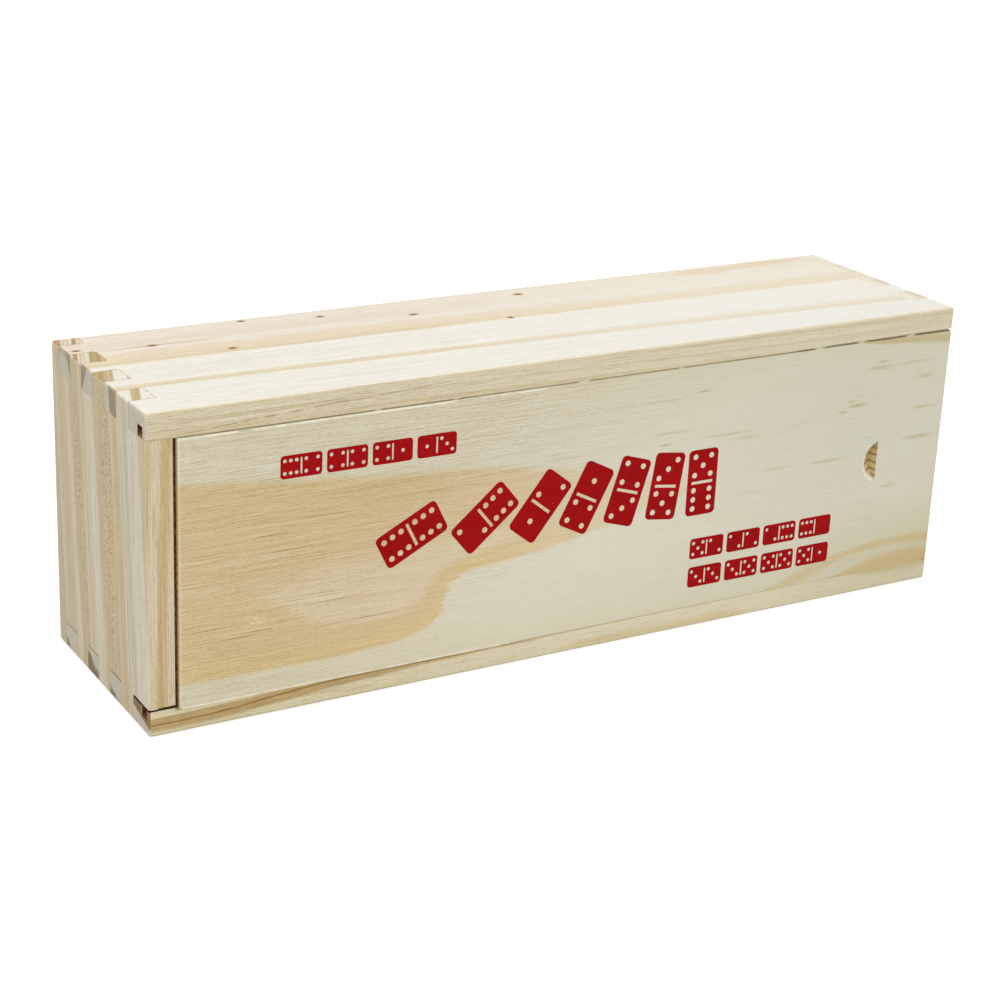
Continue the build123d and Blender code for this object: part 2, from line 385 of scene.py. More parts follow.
def glue_lines(tree, grain, parts, colour):
    """A broken brown line of glue round every finger that comes through the board's closed end."""
    from_finger = add_node(tree, "Math", {0: parts[1], 1: FINGER_MIDDLE}, operation="SUBTRACT")
    from_finger = add_node(tree, "Math", {0: from_finger, 1: FINGER_WIDTH}, operation="PINGPONG")
    beside = add_node(tree, "Math", {0: from_finger, 1: FINGER_WIDTH / 2}, operation="SUBTRACT")
    from_middle = add_node(tree, "Math", {0: parts[0], 1: BOX_LENGTH / 2}, operation="SUBTRACT")
    from_middle = add_node(tree, "Math", {0: from_middle}, operation="ABSOLUTE")
    past = add_node(tree, "Math", {0: BOX_LENGTH / 2 - BOARD, 1: from_middle}, operation="SUBTRACT")
    out = add_node(tree, "Math", {0: beside, 1: past}, operation="MAXIMUM")
    lid_side = add_node(tree, "Math", {0: parts[1], 1: COMB_END}, operation="SUBTRACT")
    out = add_node(tree, "Math", {0: out, 1: lid_side}, operation="MAXIMUM")
    line = add_node(tree, "MapRange", {
        "Value": out, "From Min": 0.14, "From Max": 0.26, "To Min": 1.0, "To Max": 0.0,
    })
    breaks = add_node(tree, "TexNoise", {"Vector": grain, "Scale": 1.6, "Detail": 1.0})
    there = add_node(tree, "MapRange", {"Value": breaks, "From Min": 0.38, "From Max": 0.6})
    line = add_node(tree, "Math", {0: line, 1: there}, operation="MULTIPLY")
    closed_end = add_node(tree, "Math", {0: parts[0], 1: BOX_LENGTH / 2}, operation="LESS_THAN")
    line = add_node(tree, "Math", {0: line, 1: closed_end}, operation="MULTIPLY")
    return stain(tree, colour, line, "#C2A27E")


def finish_wood(tree, colour, height):
    """Bare planed wood: matt, with a slight sheen along the fibres."""
    sheen = add_node(tree, "MapRange", {
        "Value": height, "From Min": 0.6, "From Max": 1.3, "To Min": 0.78, "To Max": 0.62,
    })
    relief = add_node(tree, "Bump", {"Height": height, "Strength": 0.6, "Distance": 0.00008})
    surface = add_node(tree, "BsdfPrincipled", {
        "Base Color": colour,
        "Roughness": sheen,
        "Specular IOR Level": 0.2,
        "IOR": 1.53,
        "Normal": relief,
    })
    add_node(tree, "OutputMaterial", {"Surface": surface})


def put_on(node_name, wood):
    """Give a CAD piece its wood."""
    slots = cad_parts[node_name].data.materials
    slots.clear()
    slots.append(wood)


# The board on top: knotty and pinkish at the back, with a tan band and a tan line along its length
top_wood, tree, grain, parts = start_wood(
    "planed_pine_top", (1000, -1000, -1000), (0, 0, 0), (BOX_LENGTH / 2, BOX_DEPTH / 2, BOX_HEIGHT)
)
wander = noise_along(tree, grain, 90, 9)
share = add_node(tree, "Math", {0: parts[0], 1: 1 / BOX_LENGTH}, operation="MULTIPLY")
bend = add_node(tree, "Math", {0: share, 1: 1.5}, operation="POWER")
forward = add_node(tree, "MapRange", {"Value": parts[1], "From Min": 16, "From Max": 56, "To Max": 8.5})
drift = add_node(tree, "Math", {0: bend, 1: forward}, operation="MULTIPLY")
ring = add_node(tree, "Math", {0: parts[1], 1: drift}, operation="SUBTRACT")
ring = add_noise(tree, ring, wander, 1.4)
face_near = [
    (0.0, "#EDE0D0"), (3.0, "#F0E6DA"), (8.5, "#ECDFCE"), (12.5, "#F1E8DC"), (14.5, "#EDDFC8"),
    (18.0, "#EBDAC0"), (20.2, "#E5D3B0"), (20.8, "#F3F0E6"), (26.0, "#F1EEE3"), (32.6, "#F3F0E6"),
    (33.4, "#EADEC2"), (35.2, "#E6D8B8"), (35.7, "#F3F0E6"), (42.0, "#F3F0E7"), (58.0, "#F0EEE4"),
]
face_far = [
    (0.0, "#EDE1CE"), (3.0, "#EDE3D1"), (9.0, "#EDE5D5"), (15.2, "#EEE7D9"), (16.3, "#ECE1CA"),
    (20.4, "#EADDC2"), (21.4, "#EFEBDF"), (28.0, "#EFEBE0"), (32.0, "#EEEADF"), (34.0, "#E9E1CD"),
    (35.4, "#E6DCC4"), (36.4, "#EEEADF"), (42.0, "#EDEAE0"), (58.0, "#EBE8DE"),
]
figure = changing_bands(tree, ring, parts[0], 58, face_near, face_far, 60, 140)
# The front edge shows the same rings edge on, as fine tan lines
edge_ring = leaning(tree, parts[2], parts[0], BOX_LENGTH, 0.6, -0.9)
edge_ring = add_noise(tree, edge_ring, wander, 1.6)
edge = bands(tree, edge_ring, 6, [
    (0.0, "#E8E1CA"), (0.5, "#E2D8BC"), (1.0, "#EBE5D1"), (2.2, "#ECE6D4"), (2.5, "#E3D8BA"),
    (2.8, "#EBE4D0"), (4.0, "#ECE6D3"), (4.6, "#E4D9BC"), (5.0, "#EBE3CD"), (6.0, "#E8DFC6"),
])
on_edge = add_node(tree, "MapRange", {
    "Value": parts[1], "From Min": BOX_DEPTH - 0.5, "From Max": BOX_DEPTH - 0.2,
})
figure = stain(tree, figure, on_edge, edge, "MIX")
# A pinkish streak in the back corner at the open end
figure = stain_streaks(tree, parts[0], parts[1], figure, [(
    [(0, 0), (130, 3.0), (154, 4.0), (168, 3.0), (184, 2.6), (188, 2.6)],
    [(0, 0), (143, 0), (153, 2.6), (161, 1.8), (170, 2.2), (180, 1.2), (184, 0), (188, 0)], "#FBF2E6",
)])
strength = fading_marks(tree, parts, 0.65, 0.3)
strength = add_node(tree, "Math", {0: on_edge, 1: 0.2, 2: strength}, operation="MULTIPLY_ADD")
colour, height = planed_surface(tree, grain, parts, figure, strength)
# One fine crack climbs across the front edge from the closed end
crack = streak(
    tree, parts[0], parts[2],
    [(0, 5.0), (10, 4.5), (20, 3.7), (30, 3.2), (37, 2.7), (45, 2.5), (55, 1.9), (66, 1.3), (188, 1.0)],
    [(0, 0), (8, 0.04), (20, 0.09), (38, 0.1), (50, 0.05), (60, 0.07), (66, 0), (188, 0)],
)
whole = noise_along(tree, grain, 2.5, 8, detail=1.0, shift=73.0)
whole = add_node(tree, "MapRange", {"Value": whole, "From Min": 0.4, "From Max": 0.5})
crack = add_node(tree, "Math", {0: crack, 1: whole}, operation="MULTIPLY")
crack = add_node(tree, "Math", {0: crack, 1: on_edge}, operation="MULTIPLY")
colour = stain(tree, colour, crack, "#C8B89E")

# Pin knots: along the board and in from its back edge, length and width of the dark core, all in mm
pin_knots = [
    (1.9, 9.0, 0.8, 0.4), (16.8, 11.0, 0.9, 0.5), (39.7, 1.8, 0.7, 0.5), (56.1, 4.8, 0.8, 0.5),
    (74.9, 10.6, 0.9, 0.5), (30.6, 18.5, 0.8, 0.5), (92.8, 20.2, 0.6, 0.5), (103.5, 5.0, 0.9, 0.6),
]
HALO = 2.2  # the stained wood round a knot reaches this much further than its core
for knot_along, knot_across, knot_length, knot_width in pin_knots:
    reach = (knot_length * HALO, knot_width * HALO, THROUGH)
    near_knot = spot(tree, grain, (knot_along, knot_across, 0), reach)
    tint = add_node(tree, "ValToRGB", {0: near_knot}, stops=[
        (0.0, "#FFFFFF"), (0.35, "#F9F0E4"), (0.52, "#CDB79A"), (0.78, "#917A5C"),
    ])
    colour = stain(tree, colour, 1.0, tint)
# The grain darkens in a long thin line on each side of the second knot
colour = stain_streaks(tree, parts[0], parts[1], colour, [(
    [(0, 11.3), (16.8, 11.0), (60, 10.4), (188, 10.4)],
    [(0, 0), (7, 0.1), (13, 0.26), (20, 0.26), (28, 0.1), (35, 0), (188, 0)], "#DCCCB2",
)])

# On its ends the dark late wood hangs from the top face like bowls
ends = late_wood_ends(tree, grain, parts, [
    (0, 0.5), (4.5, 0.7), (7.2, 0.7), (9.4, 1.8), (10.6, 4.8), (13.6, 6), (16.9, 5.0), (18.8, 2.8),
    (20.9, 0), (31.2, 0), (32.0, 3.0), (32.9, 6), (38, 4), (40, 0), (188, 0),
], 4.0, 1.2, 0.7, "#DDD7CA", "#B6A48E")
colour, height = end_grain(tree, grain, colour, height, (1, 0, 0), ends)
# Painted brown shade inside the lid's groove where it comes out at the closed end
colour = painted_recess_shade(tree, grain, colour, *GROOVE_END)
colour = glue_lines(tree, grain, parts, colour)
# Painted shade darkens the lip's lower edge along the seam above the lid
on_lip = add_node(tree, "Math", {0: parts[1], 1: LIP_BACK}, operation="GREATER_THAN")
lip_height = add_node(tree, "Math", {0: parts[2], 1: on_lip}, operation="MULTIPLY")
colour = painted_seam_shade(tree, [parts[0], lip_height], colour, 5.05, 5.3, UPPER_SEAM_SHADE, "#A3935F")
finish_wood(tree, colour, height)
put_on("upper_side_board", top_wood)


# The board underneath: pale, with one brown streak on its front edge near the closed end
low_wood, tree, grain, parts = start_wood(
    "planed_pine_low", (1000, -1000, 1000), (0, 0, 0), (BOX_LENGTH / 2, BOX_DEPTH / 2, 0)
)
wander = noise_along(tree, grain, 80, 6, shift=3.0)
ring = add_noise(tree, leaning(tree, parts[2], parts[0], BOX_LENGTH, 0.35, -4.2), wander, 1.2)
ring = leaning(tree, ring, parts[1], BOX_DEPTH, 7.5, 0.0)
low_near = [
    (0.0, "#EEE7CD"), (2.4, "#F0EAD2"), (5.0, "#EEE6CD"), (6.5, "#F1EBD6"), (8.0, "#DFD1AC"),
    (9.0, "#EEE7CF"), (11.0, "#EAE0C3"), (12.0, "#F0EAD4"), (14.0, "#ECE4CC"),
]
low_far = [
    (0.0, "#F0EBD4"), (2.4, "#F2EDD8"), (3.2, "#EAE3C9"), (3.6, "#F3EEDA"), (5.2, "#F3EED9"),
    (7.0, "#EAE1C5"), (8.0, "#F0ECD7"), (11.0, "#E9E2C8"), (14.0, "#EFEAD5"),
]
figure = changing_bands(tree, ring, parts[0], 14, low_near, low_far, 30, 78)
# A brown wedge of late wood runs out along its upper edge, with a darker line that climbs through it
wedge_low = drawn_line(tree, parts[0], [
    (0, 1.05), (15, 1.1), (25, 1.8), (35, 2.5), (45, 3.05), (55, 3.55), (65, 3.9), (80, 4.15), (94, 4.6),
    (188, 4.8),
])
wedge_top = drawn_line(tree, parts[0], [(0, 3.85), (10, 3.95), (20, 4.2), (28, 4.6), (60, 4.8), (188, 5.0)])
fibre_ends = noise_along(tree, grain, 9, 0.5, shift=14.0)
rough_height = add_noise(tree, parts[2], fibre_ends, 0.7)
from_front = add_node(tree, "Math", {0: BOX_DEPTH, 1: parts[1]}, operation="SUBTRACT")
rough_height = add_node(tree, "Math", {0: from_front, 1: 0.12, 2: rough_height}, operation="MULTIPLY_ADD")
wedge = add_node(tree, "Math", {
    0: beyond(tree, rough_height, wedge_low, -0.25, 0.4),
    1: beyond(tree, wedge_top, rough_height, -0.1, 0.2),
}, operation="MULTIPLY")
figure = stain(tree, figure, wedge, "#DDCAAC")
# The darker line, a warm patch half way along, and a yellower streak just below the lid's open end
figure = stain_streaks(tree, parts[0], rough_height, figure, [
    ([(0, 2.4), (12, 2.55), (20, 3.0), (30, 3.85), (42, 4.45), (60, 4.6), (188, 4.8)],
     [(0, 0.15), (30, 0.22), (60, 0.25), (80, 0.2), (96, 0), (188, 0)], "#CFBFA0"),
    ([(0, 1.0), (188, 1.0)],
     [(0, 0), (88, 0), (100, 1.2), (116, 0.7), (130, 1.2), (140, 0), (188, 0)], "#FBF4E6"),
    ([(0, 4.8), (188, 4.8)], [(0, 0), (163, 0), (172, 1.2), (188, 1.7)], "#F0E8D6"),
])
# At the open end it is duller
far_end = add_node(tree, "MapRange", {"Value": parts[0], "From Min": 140, "From Max": 170})
figure = stain(tree, figure, far_end, "#F7F7F3")
colour, height = planed_surface(tree, grain, parts, figure, fading_marks(tree, parts, 0.8, 0.35))
# On its ends the late wood rises from the bottom face in three lumps
ends = late_wood_ends(tree, grain, parts, [
    (0, 2), (4.5, 2.6), (7.5, 0), (15.8, 0), (16.9, 4.6), (18.2, 4.4), (20, 3.0), (23.1, 1.9), (27, 2.2),
    (29.3, 2.2), (31.5, 1.7), (33.5, 0.7), (36, 0), (188, 0),
], 9.0, 1.4, 0.9, "#DFD9CC", "#9C8B75")
# In front of the fingers it also lies above a line that slants up from the front, round the groove
slant_line = add_node(tree, "Math", {0: from_front, 1: 0.26, 2: 1.5}, operation="MULTIPLY_ADD")
ragged = add_noise(tree, parts[2], noise_along(tree, grain, 2, 1.0, shift=15.0), 1.0)
at_corner = add_node(tree, "Math", {0: parts[1], 1: 41.5}, operation="GREATER_THAN")
by_groove = add_node(tree, "Math", {
    0: beyond(tree, ragged, slant_line, -0.15, 0.25), 1: at_corner,
}, operation="MULTIPLY")
ends = stain(tree, ends, by_groove, "#B59C86")
colour, height = end_grain(tree, grain, colour, height, (1, 0, 0), ends)
# Painted brown shade inside the lid's groove where it comes out at the closed end
colour = painted_recess_shade(tree, grain, colour, *GROOVE_END)
# Brown painted shade darkens the gap under the closed end panel's front shoulder
under_shoulder = (-1.0, 41.0, 5.12), (5.25, 49.9, 5.3)
colour = painted_recess_shade(tree, grain, colour, *under_shoulder)
colour = stain(tree, colour, inside(tree, grain, *under_shoulder), "#7A6A52")
finish_wood(tree, colour, height)
put_on("lower_side_board", low_wood)


# The end panels: flat-sawn, so broad tan bands lean across them
panel_bands = [
    (0.0, "#E1D8C6"), (1.2, "#F1EBD7"), (2.2, "#EADDC5"), (6.4, "#ECDFC7"), (7.3, "#F5F0E0"),
    (9.0, "#F4EEDC"), (9.8, "#E6D8BE"), (14.2, "#E8DABF"), (15.0, "#F4EEDB"), (16.0, "#EBDEC6"),
    (17.6, "#F1EAD6"), (19.5, "#F8F4E7"), (22.3, "#F4EFDE"), (23.2, "#E8DABF"), (31.0, "#E9DBBC"),
    (31.7, "#F2EAD3"), (33.0, "#E8D9BB"), (35.0, "#EBDDC0"), (35.6, "#F8F6E7"), (36.3, "#E2DBCA"),
    (36.8, "#F7F2E3"), (39.4, "#E4DFCF"), (39.9, "#F8F4E8"), (43.0, "#F7F4EA"), (45.6, "#F8F7ED"),
    (46.6, "#EEE1C5"), (52.0, "#EEE0C4"), (58.0, "#F6F0DD"),
]
closed_end_bands = [
    (0.0, "#B69A70"), (5.6, "#BEA278"), (6.2, "#E2D7BF"), (8.0, "#CDB894"), (8.5, "#E4DAC3"),
    (10.3, "#D0BC98"), (10.9, "#E4DAC3"), (12.4, "#E1D5BC"), (13.0, "#B3976C"), (15.2, "#B89C72"),
    (15.9, "#E5DBC5"), (17.5, "#CEB994"), (18.1, "#E6DDC8"), (19.7, "#D2BF9C"), (20.3, "#E6DDC8"),
    (22.3, "#E0D3B8"), (23.1, "#B2976C"), (26.0, "#C6AB7C"), (28.0, "#B2966A"), (31.0, "#CCB38C"),
    (32.4, "#C2A880"), (32.9, "#E4D8BE"), (33.4, "#BEA47C"), (35.2, "#CCB38C"), (36.1, "#EAE3D2"),
    (43.5, "#ECE6D7"), (44.4, "#CFB68E"), (47.0, "#C8AE84"), (49.0, "#BEA47A"), (50.0, "#ECE6D7"),
    (70.0, "#EAE4D5"),
]
open_end_bands = [
    (0.0, "#EAE2D2"), (8.0, "#EAE2D1"), (11.0, "#E0D4BF"), (15.0, "#E6DCCA"), (23.0, "#E4D9C5"),
    (26.5, "#D6C8B1"), (29.5, "#DCCFB9"), (33.0, "#E6DECD"), (37.5, "#DACDB5"), (42.0, "#D8CAB1"),
    (46.0, "#E5DDCC"), (70.0, "#E6DECE"),
]
panel_edge_bands = [
    (0.0, "#E0D2B1"), (0.9, "#DFD0AE"), (1.6, "#E8E0CC"), (2.8, "#E7DEC7"), (3.5, "#DBCBA6"),
    (4.3, "#D7C69E"), (4.9, "#DDCDA8"), (5.6, "#E9E1CD"), (7.2, "#EAE2CF"),
]
# Down the middle of two tan bands the saw left nicks: for each the drawn middle and half width, in mm
nicked_bands = [
    ([(0, 33.0), (28, 30.8), (50, 29.4), (64, 28.8), (188, 20)],
     [(0, 0), (10, 1.2), (28, 2.8), (44, 3.6), (56, 2.0), (64, 0), (188, 0)]),
    ([(0, 18.5), (23, 16.2), (43, 14.1), (64, 12.0), (188, 20)],
     [(0, 0), (14, 0.8), (26, 1.5), (44, 1.7), (58, 0), (188, 0)]),
]
for name, node_name, sign, slant, end_bands in (
    ("planed_pine_closed_end", "closed_end_panel", -1, 3.1, closed_end_bands),
    ("planed_pine_open_end", "open_end_panel", 1, 0.6, open_end_bands),
):
    panel_wood, tree, grain, parts = start_wood(
        name, (1000 * sign, -1000, 1000), (0, 90, 0), (0, BOX_DEPTH / 2, BOX_LENGTH / 2)
    )
    wander = noise_along(tree, grain, 40, 5, shift=11.0 + sign)
    ring = add_noise(tree, leaning(tree, parts[1], parts[0], BOX_HEIGHT, -5.0, 0.0), wander, 1.6)
    figure = bands(tree, ring, 58, panel_bands)
    # The narrow front edge shows the same rings edge on
    edge_ring = add_noise(tree, leaning(tree, parts[2], parts[0], BOX_HEIGHT, 2.0, 0.0), wander, 0.6)
    edge_figure = bands(tree, edge_ring, 7.2, panel_edge_bands)
    facing = add_node(tree, "TexCoord", output="Normal")
    frontal = add_node(tree, "VectorMath", {0: facing, 1: (0, -1, 0)}, "Value", operation="DOT_PRODUCT")
    on_edge = add_node(tree, "MapRange", {"Value": frontal, "From Min": 0.5, "From Max": 0.8})
    figure = stain(tree, figure, on_edge, edge_figure, "MIX")
    colour, height = planed_surface(tree, grain, parts, figure, 0.9)
    nicks = noise_along(tree, grain, 0.45, 1.0, roughness=0.6, shift=81.0)
    light_nick = add_node(tree, "ValToRGB", {0: nicks}, stops=[(0.5, "#000000"), (0.63, "#4A463E")])
    dark_nick = add_node(tree, "ValToRGB", {0: nicks}, stops=[(0.34, "#E0D5C4"), (0.46, "#FFFFFF")])
    for middle, half_width in nicked_bands:
        nicked = streak(tree, parts[0], parts[1], middle, half_width)
        colour = stain(tree, colour, nicked, light_nick, "ADD")
        colour = stain(tree, colour, nicked, dark_nick)
    end_ring = add_node(tree, "VectorMath", {0: grain, 1: (0, 1, slant)}, "Value", operation="DOT_PRODUCT")
    pores = add_node(tree, "Mapping", {"Vector": grain, "Scale": (1.0, 2.4, 1.4)})
    pores = add_node(tree, "TexNoise", {"Vector": pores, "Scale": 1.0, "Detail": 2.0})
    end_ring = add_noise(tree, end_ring, pores, 2.2)
    ends = bands(tree, end_ring, 70, end_bands)
    if sign > 0:
        # The open end's fingers are paler inwards
        inwards = add_node(tree, "MapRange", {"Value": parts[2], "From Min": 0.8, "From Max": 3.6})
        ends = stain(tree, ends, inwards, "#EDE6D3", "MIX")
    colour, height = end_grain(tree, grain, colour, height, (0, 0, 1), ends)
    if sign < 0:
        # Painted brown shade darkens the closed end panel's front shoulder underneath
        colour = painted_recess_shade(tree, grain, colour, (5.3, 46.0, 1.8), (5.85, 50.2, 5.3))
    finish_wood(tree, colour, height)
    put_on(node_name, panel_wood)


# The bottom panel: thin, plain and pale
bottom_wood, tree, grain, parts = start_wood(
    "planed_pine_bottom", (1000, 1000, 1000), (-90, 0, 0), (BOX_LENGTH / 2, 0, BOX_DEPTH / 2)
)
ring = add_noise(tree, parts[1], noise_along(tree, grain, 120, 12, shift=21.0), 7.0)
figure = bands(tree, ring, BOX_HEIGHT, [
    (0.0, "#EBE3CF"), (9.0, "#E6DABD"), (10.0, "#EDE7D6"), (21.0, "#ECE5D4"), (27.0, "#E3D3B0"),
    (35.0, "#E6D8B9"), (36.0, "#EEE8D9"), (47.0, "#ECE5D3"), (52.0, "#E4D6B6"), (53.0, "#EDE6D6"),
    (64.0, "#EAE1CC"),
])
colour, height = planed_surface(tree, grain, parts, figure, 0.9)
colour, height = end_grain(tree, grain, colour, height, (1, 0, 0), "#D4C6AB")
finish_wood(tree, colour, height)
put_on("bottom_panel", bottom_wood)


# The lid: flat-sawn pine with a tan flame in a cream board
lid_wood, tree, grain, parts = start_wood(
    "planed_pine_lid", (1000, -1000, 1000), (-90, 0, 0), (BOX_LENGTH / 2, 0, BOX_DEPTH / 2)
)
feather = noise_along(tree, grain, 20, 0.6, shift=2.0)
wander = noise_along(tree, grain, 30, 5, shift=5.0)
along = add_noise(tree, parts[0], feather, 5.0)
up = add_noise(tree, parts[1], wander, 1.0)
flame_top = drawn_line(tree, along, [
    (0, 50.4), (20, 48.6), (40.7, 46.3), (62, 44.6), (80.4, 42.5), (104.7, 36.7), (126.5, 32.3), (150, 29),
    (188, 26),
])
flame_low = drawn_line(tree, along, [
    (0, 9.4), (20, 9.2), (33.9, 9.1), (45, 9.5), (53.5, 10.4), (58.5, 11.8), (60.9, 13.2), (62.0, 16.0),
    (62.8, 18.6), (64.6, 21.0), (68.1, 22.4), (75.0, 23.1), (88, 24.6), (100.9, 27.1), (126, 32), (188, 32),
])
flame = add_node(tree, "Math", {
    0: beyond(tree, flame_top, up, -0.7, 1.3), 1: beyond(tree, up, flame_low, -0.5, 0.5),
}, operation="MULTIPLY")
fading = add_node(tree, "MapRange", {
    "Value": along, "From Min": 70, "From Max": 126, "To Min": 1.0, "To Max": 0.15,
})
flame = add_node(tree, "Math", {0: flame, 1: fading}, operation="MULTIPLY")
cream = bands(tree, up, BOX_HEIGHT, [
    (0.0, "#E9E4D0"), (7.0, "#ECE9D8"), (20.0, "#EFECDF"), (36.0, "#ECEADE"), (50.0, "#EBE8DB"),
    (64.0, "#E8E5D3"),
])
above_low = add_node(tree, "Math", {0: up, 1: flame_low}, operation="SUBTRACT")
tan = bands(tree, above_low, 40, [
    (0.0, "#E9D3A5"), (1.5, "#EAD5A9"), (5.0, "#E7D4AE"), (18.0, "#E7D6B4"), (30.0, "#E6D4B0"),
    (40.0, "#E4D1A9"),
])
figure = stain(tree, cream, flame, tan, "MIX")
# A second, paler flame lies inside the first
pale_top = drawn_line(tree, along, [(0, 24), (21.9, 26.3), (37, 28.2), (60, 30), (100, 32), (188, 32)])
pale_low = drawn_line(tree, along, [
    (0, 34), (19, 27.5), (26.7, 21.9), (32.4, 18.2), (41, 15.4), (50, 15.3), (55, 16.8), (58, 19.4),
    (61, 22.8), (68, 25.2), (100, 29.8), (188, 33),
])
pale = add_node(tree, "Math", {
    0: beyond(tree, pale_top, up, -1.2, 1.2), 1: beyond(tree, up, pale_low, -0.6, 1.2),
}, operation="MULTIPLY")
pale = add_node(tree, "Math", {0: pale, 1: flame}, operation="MULTIPLY")
figure = stain(tree, figure, pale, "#ECE0C6", "MIX")
# Two wavy tan rings rise to the open end at the bottom, and one runs just under the upper seam
figure = stain_streaks(tree, parts[0], up, figure, [
    ([(0, 3), (134, 3.4), (144.3, 4.7), (149.5, 6.1), (154.6, 7.5), (162.2, 9.6), (174, 10.8), (188, 10.5)],
     [(0, 0), (130, 0), (144, 0.9), (150, 1.6), (156, 1.5), (162, 1.0), (174, 1.0), (188, 1.3)], "#FCF0D9"),
    ([(0, 3), (150, 3.8), (160, 4.7), (167, 5.4), (172, 5.9), (180, 6.1), (188, 6.0)],
     [(0, 0), (158, 0), (164, 0.6), (168, 1.4), (174, 2.0), (188, 2.1)], "#FBEED5"),
    ([(0, 57.8), (160, 58.4), (176, 57.9), (188, 57.0)],
     [(0, 0), (162, 0), (168, 0.5), (176, 0.8), (188, 1.3)], "#F1E4C9"),
])
# The lower corner at the open end is a little warmer
towards_end = add_node(tree, "MapRange", {"Value": parts[0], "From Min": 150, "From Max": 188})
lower_down = add_node(tree, "MapRange", {"Value": parts[1], "From Min": 24, "From Max": 6})
low_corner = add_node(tree, "Math", {0: towards_end, 1: lower_down}, operation="MULTIPLY")
figure = stain(tree, figure, low_corner, "#F6EDDD")
# Short tan strokes of resin: from where to where along the lid, how high on it and half how wide
strokes = [
    (120.3, 124.4, 53.0, 0.5), (99.0, 121.0, 52.1, 0.35), (163.0, 174.0, 52.5, 0.6),
    (172.0, 185.0, 52.7, 0.4), (167.0, 171.5, 53.8, 0.4), (160.0, 163.6, 45.6, 0.4),
    (159.0, 168.0, 44.6, 0.7), (157.6, 161.2, 43.5, 0.5), (177.0, 187.5, 42.0, 0.5),
    (176.0, 187.5, 35.1, 0.7), (137.5, 147.0, 33.1, 0.5), (149.5, 163.0, 32.9, 0.5),
    (171.0, 178.0, 24.6, 0.5), (111.4, 115.4, 42.4, 0.55), (119.5, 138.5, 42.7, 0.4),
    (109.0, 121.0, 44.9, 0.4), (112.0, 118.0, 40.6, 0.3), (128.0, 140.0, 41.3, 0.35),
    (178.0, 185.5, 49.2, 0.7),
]
frayed = noise_along(tree, grain, 6, 0.5, detail=1.0, shift=61.0)
frayed = add_node(tree, "MapRange", {"Value": frayed, "From Min": 0.3, "From Max": 0.6, "To Min": 0.35})


def frayed_line(start, end, line_height, half_width, depth):
    """One along the middle of a frayed, pointed line that follows the lid's grain, all in mm."""
    shape = spot(tree, grain, ((start + end) / 2, line_height, 0), ((end - start) / 2, half_width, depth))
    return add_node(tree, "Math", {0: shape, 1: frayed}, operation="MULTIPLY")


for start, end, stroke_height, half_width in strokes:
    stroke = frayed_line(start, end, stroke_height, half_width, THROUGH)
    figure = stain(tree, figure, stroke, "#E6D6B0")
# The lid is duller towards the open end
duller = add_node(tree, "MapRange", {"Value": parts[0], "From Min": 105, "From Max": 160})
figure = stain(tree, figure, duller, "#F7F9F9")
# The plane's marks reach further towards the open end at the top than at the bottom
further = add_node(tree, "Math", {0: parts[1], 1: -1.3, 2: parts[0]}, operation="MULTIPLY_ADD")
strength = add_node(tree, "MapRange", {
    "Value": further, "From Min": 0, "From Max": 66, "To Min": 0.86, "To Max": 0.22,
})
colour, height = planed_surface(tree, grain, parts, figure, strength)
# A few long fibres came away near the closed end: each left a dark scratch with a pale edge above it
scratches = [
    (19.5, 37.8, 33.4), (19.5, 38.5, 31.9), (23.0, 44.5, 39.3), (5.0, 22.8, 19.8), (16.8, 26.8, 17.9),
    (13.5, 22.8, 17.2), (31.0, 47.0, 21.5), (18.5, 30.5, 36.9), (36.0, 56.0, 16.6),
]
SCRATCH_HALF_WIDTH = 0.14
SCRATCH_DEPTH = 4.0
for start, end, scratch_height in scratches:
    for up_by, tint, blend in ((0.0, "#A28B64", "MULTIPLY"), (0.2, "#3A3832", "ADD")):
        scratch = frayed_line(start, end, scratch_height + up_by, SCRATCH_HALF_WIDTH, SCRATCH_DEPTH)
        colour = stain(tree, colour, scratch, tint, blend)
# The plane tore the grain just outside the flame's tip, and in one small spot near the closed end
turned = {"Vector": grain, "Rotation": (0, 0, radians(40)), "Scale": (0.9, 2.6, 1.0)}
fuzz = add_node(tree, "Mapping", turned)
fuzz = add_node(tree, "TexNoise", {"Vector": fuzz, "Scale": 1.0, "Detail": 2.0, "Roughness": 0.7})
for tear_place, tear_reach, tear_light in (
    ((70.0, 15.5, 0), (11.0, 8.5, THROUGH), "#24231F"),
    ((20.9, 19.9, 0), (3.2, 2.2, THROUGH), "#77736A"),
):
    torn_here = spot(tree, grain, tear_place, tear_reach)
    torn_here = add_node(tree, "MapRange", {"Value": torn_here, "From Max": 0.4})
    raised = add_node(tree, "ValToRGB", {0: fuzz}, stops=[(0.5, "#000000"), (0.66, tear_light)])
    colour = stain(tree, colour, torn_here, raised, "ADD")
# Painted shade darkens the lid's edge at both seams, with a pale painted highlight beside them towards the
# closed end
breaks = noise_along(tree, grain, 5, 30, detail=2.0, roughness=0.7, shift=71.0)
whole = add_node(tree, "MapRange", {"Value": breaks, "From Min": 0.3, "From Max": 0.55})
broken_up = add_noise(tree, parts[1], breaks, 0.12)
raised_face = add_node(tree, "Math", {0: parts[2], 1: FACE_DEPTH}, operation="LESS_THAN")
broken_up = add_node(tree, "Math", {0: broken_up, 1: raised_face}, operation="MULTIPLY")
colour = painted_seam_shade(tree, [parts[0], broken_up], colour, 58.6, 60.0, UPPER_SEAM_SHADE, "#8F7F44")
colour = painted_seam_shade(
    tree, [parts[0], broken_up], colour, 4.4, 4.78,
    [(0, 0.0), (70, 0.0), (90, 0.7), (120, 0.6), (140, 0.3), (150, 0.1), (188, 0.1)], "#D3C8AE",
)
